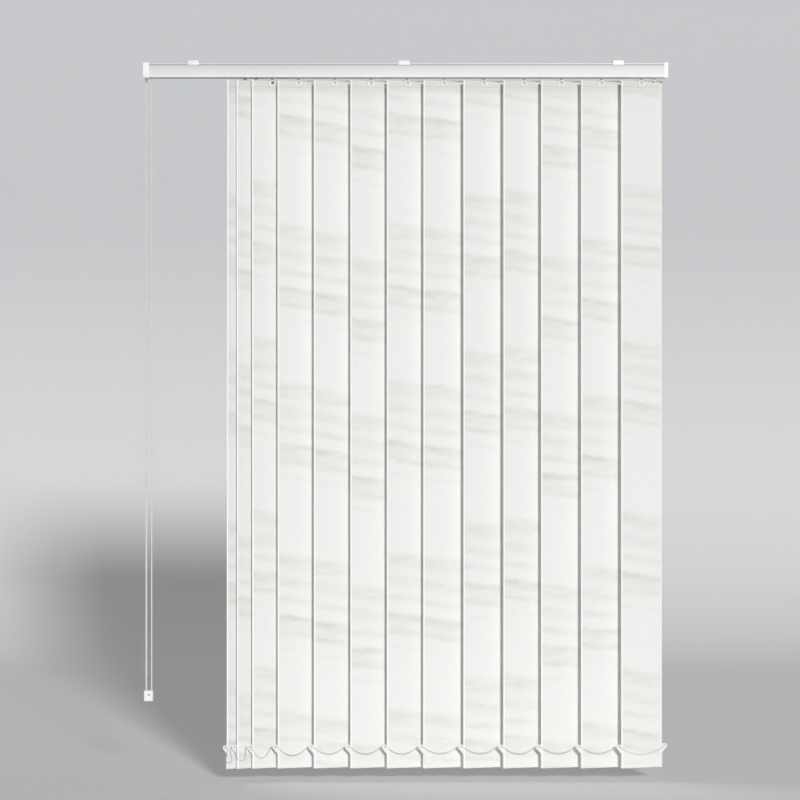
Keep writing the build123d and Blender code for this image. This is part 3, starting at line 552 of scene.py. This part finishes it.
bracket_coat = grained_material(
    "bracket_coat", (0.90, 0.90, 0.89), (0.85, 0.85, 0.84), 0.30, 500.0, 60.0, 0.00004
)
dress(bracket_coat, "bracket_left", "bracket_middle", "bracket_right")

# ---------------------------------------------------------------- end caps and cord tidy
# Injection-moulded white plastic. The control cap holds the chain wheel and the cord pulleys,
# the far cap closes the rail, and the tidy is screwed beside the window.

cap_plastic = grained_material(
    "cap_plastic", (0.95, 0.95, 0.94), (0.91, 0.91, 0.895), 0.32, 1100.0, 30.0, 0.00003
)
dress(cap_plastic, "control_end_cap", "control_cap_cover", "idle_end_cap", "cord_tidy")

# ---------------------------------------------------------------- tilt rod and pins
# The rod is drawn aluminium, left bright, with flutes that drive the worms. The pulleys turn on
# plain steel pins.


def drawn_metal(name, colour, roughness, stretch):
    """Bright metal with fine lines left by the die, along the direction of the stretch."""
    material, tree, shader = new_material(name, colour, roughness)
    shader.inputs["Metallic"].default_value = 1.0
    place = tree.nodes.new("ShaderNodeTexCoord")
    squeeze = tree.nodes.new("ShaderNodeMapping")
    squeeze.inputs["Scale"].default_value = stretch
    tree.links.new(place.outputs["Object"], squeeze.inputs["Vector"])
    lines = tree.nodes.new("ShaderNodeTexNoise")
    lines.inputs["Scale"].default_value = 1.0
    lines.inputs["Detail"].default_value = 3.0
    tree.links.new(squeeze.outputs["Vector"], lines.inputs["Vector"])
    tone = tree.nodes.new("ShaderNodeMapRange")
    tone.inputs["To Min"].default_value = roughness - 0.08
    tone.inputs["To Max"].default_value = roughness + 0.12
    tree.links.new(lines.outputs["Fac"], tone.inputs["Value"])
    tree.links.new(tone.outputs["Result"], shader.inputs["Roughness"])
    bump = tree.nodes.new("ShaderNodeBump")
    bump.inputs["Strength"].default_value = 0.25
    bump.inputs["Distance"].default_value = 0.00003
    tree.links.new(lines.outputs["Fac"], bump.inputs["Height"])
    tree.links.new(bump.outputs["Normal"], shader.inputs["Normal"])
    return material


dress(drawn_metal("drawn_aluminium", (0.78, 0.79, 0.80), 0.32, (8.0, 2600.0, 2600.0)), "tilt_rod")
dress(drawn_metal("pin_steel", (0.62, 0.62, 0.63), 0.30, (2400.0, 40.0, 2400.0)), "pulley_pins")

# ---------------------------------------------------------------- wheels, trucks and fittings
# Acetal mouldings, white and slightly waxy: the chain wheel and pulleys, the trucks with their
# wheels and worms, and on each louvre the hook, the hanger and the bottom weight.

acetal = grained_material(
    "white_acetal", (0.89, 0.89, 0.88), (0.84, 0.84, 0.83), 0.34, 1400.0, 50.0, 0.00003
)
shader = acetal.node_tree.nodes["Principled BSDF"]
shader.inputs["Coat Weight"].default_value = 0.12
count = sum(1 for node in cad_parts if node.startswith("truck_"))
numbers = [f"{i + 1:02d}" for i in range(count)]
dress(acetal, "chain_wheel", "cord_pulley_front", "cord_pulley_rear", "return_pulley", "cord_clamp")
for number in numbers:
    dress(acetal, "truck_" + number, "fittings_" + number)

# ---------------------------------------------------------------- louvres
# Strips of coated polyester cloth, cut with sealed edges. Each end is folded back and welded into
# a pocket, round the hanger at the top and round the weight at the bottom.

louvre_width = 0.089
top_pocket = 0.016
bottom_pocket = 0.051
pocket_half = 0.0015
cloth = 0.0004
notch_half = 0.0075
notch_depth = 0.010
# width of the painted highlight along each sealed edge
edge_highlight_width = 0.0034


def ease(value):
    """Rises smoothly from 0 to 1 as the value goes from 0 to 1, and stays there."""
    share = np.clip(value, 0.0, 1.0)
    return share * share * (3.0 - 2.0 * share)


def cloth_path(drop):
    """The folded strip's section, from the weld behind the top pocket round to the bottom weld.

    Returns how far each row lies behind the louvre's plane, how far below its top, and its
    distance down the cloth from the crest of the top fold. A fold is a half circle; a pocket
    swells from its weld."""
    top_swell, low_swell = 0.004, 0.006
    turn = np.linspace(0.0, math.pi, 9)
    fold_top = pocket_half + cloth / 2
    fold_low = drop - fold_top
    back_top = np.linspace(top_pocket, fold_top, 12)
    front = np.concatenate([
        np.linspace(fold_top, top_pocket, 12),
        np.linspace(top_pocket, drop - bottom_pocket, 64)[1:],
        np.linspace(drop - bottom_pocket, fold_low, 20)[1:],
    ])
    back_low = np.linspace(fold_low, drop - bottom_pocket, 20)

    def swell(depth):
        upper = ease((top_pocket - depth) / top_swell)
        lower = ease((depth - (drop - bottom_pocket)) / low_swell)
        return cloth / 2 + (pocket_half - cloth / 2) * np.maximum(upper, lower)

    behind = np.concatenate([
        swell(back_top), pocket_half * np.cos(turn[1:-1]),
        -swell(front), -pocket_half * np.cos(turn[1:-1]), swell(back_low),
    ])
    below = np.concatenate([
        back_top, fold_top - pocket_half * np.sin(turn[1:-1]),
        front, fold_low + pocket_half * np.sin(turn[1:-1]), back_low,
    ])
    step = np.hypot(np.diff(behind), np.diff(below))
    reach = np.concatenate([[0.0], np.cumsum(step)])
    crest = len(back_top) + len(turn[1:-1]) // 2
    return behind, below, reach - reach[crest]


def louvre_cloth(name, number, centre, angle, top, drop, draws):
    """The folded section carried across the width, with a slight bow and twist of its own.

    With e the half width, a point u across and d below the top stands behind the section by
    bow (1 - (u/e)^2) ease(d / settle) + twist (u/e) (sin(pi d / drop + phase) - sin(phase))."""
    settle, shift_across = 0.12, 0.31
    behind, below, reach = cloth_path(drop)
    edge = louvre_width / 2
    u = np.concatenate([
        np.linspace(-edge, -notch_half, 12), np.linspace(-notch_half, notch_half, 5)[1:-1],
        np.linspace(notch_half, edge, 12),
    ])
    bow, twist, phase = draws
    back = behind[:, None] + bow * (1.0 - (u[None] / edge) ** 2) * ease(below[:, None] / settle)
    back = back + twist * (u[None] / edge) * np.sin(math.pi * below[:, None] / drop + phase)
    back = back - twist * (u[None] / edge) * math.sin(phase)
    grid = np.stack([
        centre + u[None] * math.cos(angle) - back * math.sin(angle),
        u[None] * math.sin(angle) + back * math.cos(angle),
        np.broadcast_to(top - below[:, None], back.shape),
    ], axis=-1)
    middle = (below[:-1] + below[1:]) / 2
    inside = np.abs((u[:-1] + u[1:]) / 2) < notch_half
    keep = ~((middle[:, None] < notch_depth) & inside[None])
    strip = object_from_grid(name, grid, keep)
    corners = np.zeros(len(strip.data.loops), dtype=np.int32)
    strip.data.loops.foreach_get("vertex_index", corners)
    cut = np.stack(np.broadcast_arrays(u[None], reach[:, None]), axis=-1).reshape(-1, 2)
    shift = np.array([shift_across * number, -pattern_starts[number]])
    for layer_name, chart in (("cut", cut), ("cloth", cut + shift)):
        layer = strip.data.uv_layers.new(name=layer_name)
        layer.data.foreach_set("uv", chart[corners].ravel())
    wall = strip.modifiers.new("thickness", "SOLIDIFY")
    wall.thickness = cloth
    wall.offset = 0.0
    wall.use_even_offset = True
    return strip, float(reach[-1] - reach[0])


def math_node(tree, operation, first, second=None, third=None):
    """One Math node; each input is a socket to follow or a plain number."""
    node = tree.nodes.new("ShaderNodeMath")
    node.operation = operation
    for socket, value in zip(node.inputs, (first, second, third)):
        if isinstance(value, (int, float)):
            socket.default_value = value
        elif value is not None:
            tree.links.new(value, socket)
    return node.outputs[0]


def stretched_noise(tree, chart, scale, detail):
    """Noise over a UV map, drawn out by a different scale each way."""
    place = tree.nodes.new("ShaderNodeMapping")
    place.inputs["Scale"].default_value = (*scale, 1.0)
    tree.links.new(chart, place.inputs["Vector"])
    noise = tree.nodes.new("ShaderNodeTexNoise")
    noise.inputs["Scale"].default_value = 1.0
    noise.inputs["Detail"].default_value = detail
    tree.links.new(place.outputs["Vector"], noise.inputs["Vector"])
    return noise.outputs["Fac"]


def mixed(tree, share, first, second):
    """A colour between two; each is a socket or a plain colour."""
    node = tree.nodes.new("ShaderNodeMix")
    node.data_type = "RGBA"
    tree.links.new(share, node.inputs["Factor"])
    for socket, value in ((node.inputs[6], first), (node.inputs[7], second)):
        if isinstance(value, tuple):
            socket.default_value = (*value, 1.0)
        else:
            tree.links.new(value, socket)
    return node.outputs[2]


def louvre_material():
    """Off-white cloth with drooping satin streaks in groups, slubs, a fine weave and weld lines.

    The depth down the cloth, less the droop, is taken modulo the repeat, which holds two groups
    of streaks. A group runs from before to after its strongest streak. Each pair in streaks is a
    place within the group in metres, downwards from that streak, and how dark the cloth is there."""
    plain = (0.862, 0.872, 0.846)
    streak = (0.705, 0.715, 0.675)
    light = (0.91, 0.915, 0.895)
    repeat, second_group, before, after = 0.656, 0.343, 0.145, 0.205
    droop, waver_depth = 0.125, 0.014
    warp_pitch, weft_pitch = 0.0007, 0.0009
    pocket_fade, past_pocket = 0.014, 0.012
    hem_weld = 0.005
    streaks = (
        (-0.136, 0.0), (-0.124, 0.58), (-0.106, 0.50), (-0.096, 0.16), (-0.088, 0.16), (-0.079, 0.48),
        (-0.068, 0.42), (-0.058, 0.08), (-0.048, 0.10), (-0.040, 0.52), (-0.034, 0.36), (-0.028, 0.0),
        (-0.013, 0.0), (-0.005, 1.0), (0.003, 0.62), (0.013, 0.36), (0.021, 0.42), (0.028, 0.72),
        (0.037, 0.10), (0.050, 0.02), (0.058, 0.18), (0.067, 0.0),
    )
    material, tree, shader = new_material("louvre_cloth", plain, 0.62)
    shader.inputs["Sheen Weight"].default_value = 0.12
    shader.inputs["Specular IOR Level"].default_value = 0.35
    cloth_map = tree.nodes.new("ShaderNodeUVMap")
    cloth_map.uv_map = "cloth"
    chart = cloth_map.outputs["UV"]
    parts = tree.nodes.new("ShaderNodeSeparateXYZ")
    tree.links.new(chart, parts.inputs["Vector"])
    across, down = parts.outputs["X"], parts.outputs["Y"]
    cut_map = tree.nodes.new("ShaderNodeUVMap")
    cut_map.uv_map = "cut"
    cut = tree.nodes.new("ShaderNodeSeparateXYZ")
    tree.links.new(cut_map.outputs["UV"], cut.inputs["Vector"])
    side_to_side = cut.outputs["X"]
    # depth down the cloth, with the droop to the right and a slow waver
    waver = math_node(tree, "SUBTRACT", stretched_noise(tree, chart, (14.0, 7.0), 2.0), 0.5)
    level = math_node(tree, "MULTIPLY_ADD", side_to_side, -droop, down)
    level = math_node(tree, "MULTIPLY_ADD", waver, waver_depth, level)
    # place within a group of streaks: the cloth's repeat holds two groups
    place = math_node(tree, "FRACT", math_node(tree, "MULTIPLY_ADD", level, 1 / repeat, before / repeat))
    second = math_node(tree, "GREATER_THAN", place, (before + after) / repeat)
    place = math_node(tree, "MULTIPLY_ADD", place, repeat, -before)
    place = math_node(tree, "MULTIPLY_ADD", second, -second_group, place)
    ramp = tree.nodes.new("ShaderNodeValToRGB")
    stops = ramp.color_ramp.elements
    for at, dark in streaks:
        stop = stops.new((at + before) / (before + after))
        stop.color = (dark, dark, dark, 1.0)
    stops.remove(stops[0])
    stops.remove(stops[-1])
    tree.links.new(
        math_node(tree, "MULTIPLY_ADD", place, 1 / (before + after), before / (before + after)),
        ramp.inputs["Fac"],
    )
    # each streak comes and goes across the cloth, and fades towards the right edge
    patch = stretched_noise(tree, chart, (20.0, 70.0), 3.0)
    strength = math_node(tree, "MULTIPLY_ADD", patch, 2.1, -0.32)
    fade = math_node(tree, "MULTIPLY_ADD", side_to_side, -3.0, 1.0)
    strength = math_node(tree, "MULTIPLY", strength, fade)
    shown = math_node(tree, "MULTIPLY", ramp.outputs["Color"], strength)
    shown.node.use_clamp = True
    colour = mixed(tree, shown, plain, streak)
    # slubs: short light threads that run down the cloth, and a few across
    slub = stretched_noise(tree, chart, (900.0, 45.0), 2.0)
    slub = math_node(tree, "MULTIPLY_ADD", slub, 5.0, -3.0)
    slub.node.use_clamp = True
    colour = mixed(tree, math_node(tree, "MULTIPLY", slub, 0.75), colour, light)
    dull = stretched_noise(tree, chart, (500.0, 30.0), 3.0)
    dull = math_node(tree, "MULTIPLY_ADD", dull, 4.0, -2.3)
    dull.node.use_clamp = True
    colour = mixed(tree, math_node(tree, "MULTIPLY", dull, 0.26), colour, streak)
    # painted highlight along the sealed edges, painted shade over the top pocket, and weld lines, from the
    # cut size
    side = math_node(tree, "ABSOLUTE", side_to_side)
    painted_edge_highlight = math_node(tree, "SUBTRACT", side, louvre_width / 2 - edge_highlight_width)
    painted_edge_highlight = math_node(tree, "MULTIPLY", painted_edge_highlight, 1600.0)
    painted_edge_highlight.node.use_clamp = True
    # painted shade over the top pocket and a little below it: the rail's shadow, and less light through
    # the doubled cloth
    shade_end = (top_pocket + past_pocket) / pocket_fade
    painted_pocket_shade = math_node(tree, "MULTIPLY_ADD", cut.outputs["Y"], -1 / pocket_fade, shade_end)
    painted_pocket_shade.node.use_clamp = True
    colour = mixed(tree, math_node(tree, "MULTIPLY", painted_pocket_shade, 0.8), colour, streak)
    colour = mixed(tree, painted_edge_highlight, colour, (1.0, 1.0, 0.99))
    welds = None
    for at in (top_pocket, louvre_drop - bottom_pocket, louvre_drop - hem_weld):
        away = math_node(tree, "ABSOLUTE", math_node(tree, "SUBTRACT", cut.outputs["Y"], at))
        line = math_node(tree, "MULTIPLY_ADD", away, -900.0, 1.25)
        line.node.use_clamp = True
        welds = line if welds is None else math_node(tree, "MAXIMUM", welds, line)
    colour = mixed(tree, math_node(tree, "MULTIPLY", welds, 0.35), colour, (0.95, 0.95, 0.94))
    tree.links.new(colour, shader.inputs["Base Color"])
    # relief: threads each way, slubs and pressed welds
    warp = math_node(tree, "SINE", math_node(tree, "MULTIPLY", across, 2 * math.pi / warp_pitch))
    weft = math_node(tree, "SINE", math_node(tree, "MULTIPLY", down, 2 * math.pi / weft_pitch))
    weave = math_node(tree, "MULTIPLY", warp, weft)
    relief = math_node(tree, "MULTIPLY_ADD", slub, 1.5, math_node(tree, "MULTIPLY", weave, 0.3))
    relief = math_node(tree, "MULTIPLY_ADD", welds, -2.0, relief)
    bump = tree.nodes.new("ShaderNodeBump")
    bump.inputs["Strength"].default_value = 0.3
    bump.inputs["Distance"].default_value = 0.0001
    tree.links.new(relief, bump.inputs["Height"])
    tree.links.new(bump.outputs["Normal"], shader.inputs["Normal"])
    return material


louvre_low, louvre_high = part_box("louvre_" + numbers[-1])
louvre_top = louvre_high[2]
louvre_drop = louvre_high[2] - louvre_low[2]
rng = np.random.default_rng(13)
bow_most, twist_most = 0.0006, 0.0012
# how far down the pattern each louvre was cut from the roll
pattern_starts = [
    0.020, 0.046, -0.006, 0.082, 0.096, 0.146, 0.078, 0.088, 0.018, 0.010, 0.142, 0.106, -0.002
]
cloth_finish = louvre_material()
louvre_places = []

for order, number in enumerate(numbers):
    low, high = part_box("louvre_" + number)
    centre = (low[0] + high[0]) / 2
    across = high[0] - low[0]
    deep = high[1] - low[1]
    # a strip w wide and t thick, turned by a, has a box w sin a + t cos a deep: solve for a
    thick = 2 * pocket_half + cloth
    angle = math.atan2(deep, across)
    for _ in range(4):
        angle = math.asin((deep - thick * math.cos(angle)) / louvre_width)
    louvre_places.append((centre, angle))
    draws = (rng.uniform(-bow_most, bow_most), rng.uniform(-twist_most, twist_most), rng.uniform(0.0, 2.0))
    piece, length = louvre_cloth(
        "louvre_cloth_" + number, order, centre, angle, louvre_top, louvre_drop, draws
    )
    piece.data.materials.append(cloth_finish)
    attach(piece, "vane_" + number)
    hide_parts("louvre_" + number)

# ---------------------------------------------------------------- bottom chains
# Small white bead chains clipped from ear to ear of the weights, one row on the room side and
# one on the window side, so that the louvres keep their spacing and turn together.

small_bead = 0.0013
# the balls are drawn a little under the bead's real size, so that the rows stay light to look at
drawn_bead = 0.88 * small_bead
small_thread = 0.00035
ear_hole_past_edge = 0.005
ear_tip_past_edge = 0.011
ear_hole_above_hem = 0.0435
ear_clearance = 0.0003
clip_inboard = 0.0034
ear_hole_u = louvre_width / 2 + ear_hole_past_edge
ear_hole_z = louvre_top - louvre_drop + ear_hole_above_hem
# the white beads are coloured grey: painted shade for the small shadows round each bead
small_bead_painted_shade = grained_material(
    "small_bead_plastic_painted_shade", (0.68, 0.68, 0.66), (0.60, 0.60, 0.58), 0.3, 1500.0, 60.0, 0.00003
)
ear_tip_u = louvre_width / 2 + ear_tip_past_edge + small_bead + ear_clearance
clip_u = ear_hole_u - clip_inboard
small_pitch = 0.0045
sags = [0.031, 0.027, 0.023, 0.017, 0.014, 0.014, 0.014, 0.013, 0.013, 0.014, 0.013, 0.013]
tail_sag = 0.018


def on_louvre(order, u, stand):
    """A point level with the ears' holes, u across a louvre and stand towards the window."""
    centre, angle = louvre_places[order]
    return np.array([
        centre + u * math.cos(angle) - stand * math.sin(angle),
        u * math.sin(angle) + stand * math.cos(angle),
        ear_hole_z,
    ])


def hanging_line(start, end, sag):
    """A slack line between two level points: a rounded U where it is narrow, or else a parabola.

    The parabola hangs sag (1 - s^2) below the ends, with s from -1 to 1 along the span."""
    half = np.linalg.norm(end - start) / 2
    if sag > 1.5 * half:
        bend = max(half, 6 * small_bead)
        left = [
            (-half, 0.0),
            (-half + 0.0006, 0.42 * sag),
            (-bend, sag - (1 - corner_share) * bend),
            (-corner_share * bend, sag),
        ]
        shape = left + [(-along, down) for along, down in reversed(left)]
    else:
        shape = [(half * share, sag * (1 - share ** 2)) for share in (-1, -0.8, -0.48, 0, 0.48, 0.8, 1)]
    middle = (start + end) / 2
    level = (end - start) / (2 * half)
    return [tuple(middle + level * along - np.array([0.0, 0.0, down])) for along, down in shape]


def small_chain(name, start, end, sag):
    """One length of small bead chain that hangs from both ends."""
    line = smooth_line(hanging_line(start, end, sag), small_pitch)
    chain = bead_chain(name, line, drawn_bead, small_thread)
    chain.data.materials.append(small_bead_painted_shade)
    return chain


clear_of_ear = 0.0026
clear_of_pocket = 0.0033
for order, sag in enumerate(sags):
    front = (on_louvre(order, -clip_u, -clear_of_ear), on_louvre(order + 1, -ear_tip_u, 0.0))
    back = (on_louvre(order, ear_tip_u, 0.0), on_louvre(order + 1, clip_u, clear_of_ear))
    for row, (start, end) in (("front_chain", front), ("back_chain", back)):
        piece = small_chain(f"{row}_{numbers[order]}", start, end, sag)
        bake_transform(piece)
        if order == 0:
            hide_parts(row)
tail = small_chain(
    "front_chain_tail", on_louvre(count - 1, -ear_hole_u, -clear_of_pocket),
    on_louvre(count - 1, ear_hole_u, -clear_of_pocket), tail_sag,
)
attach(tail, "vane_" + numbers[-1])
